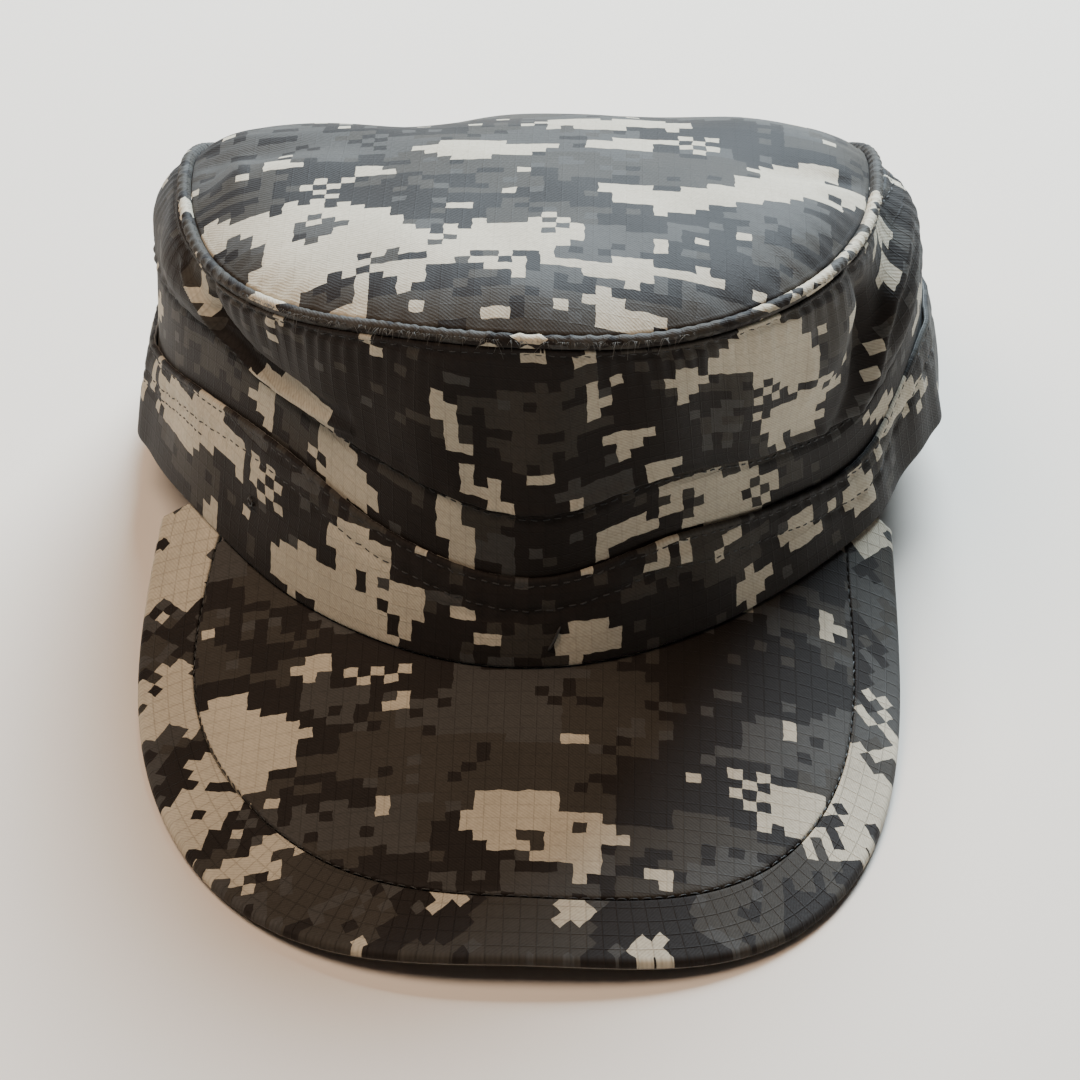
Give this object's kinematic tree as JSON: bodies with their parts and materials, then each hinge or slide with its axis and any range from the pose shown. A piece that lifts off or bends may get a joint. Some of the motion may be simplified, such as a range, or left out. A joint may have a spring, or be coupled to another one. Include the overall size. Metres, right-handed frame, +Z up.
{
  "type": "field cap",
  "caption": "Soft field cap in blocky grey camouflage cloth, with an oval top, a folded band round the crown and a broad stiff peak.",
  "frame": {"origin": "middle of the cap's footprint, at the height of the surface that it rests on", "axes": "+Z up; the peak points towards -Y; +X is the wearer's left"},
  "size_m": [0.178, 0.264, 0.1008],
  "materials": {
    "crown_cloth": "matt ripstop cotton blend, printed in blocky greys",
    "welt_cloth": "matt cloth rolled over the crown seam",
    "band_cloth": "matt ripstop cotton blend, folded and topstitched",
    "peak_cloth": "matt ripstop cotton blend over a stiffener"
  },
  "bodies": {
    "root": {"crown_top": "crown_cloth", "crown_welt": "welt_cloth", "crown_wall": "crown_cloth", "middle_band": "band_cloth", "lower_band": "band_cloth", "peak_panel": "peak_cloth", "peak_border": "peak_cloth"}
  },
  "joints": []
}
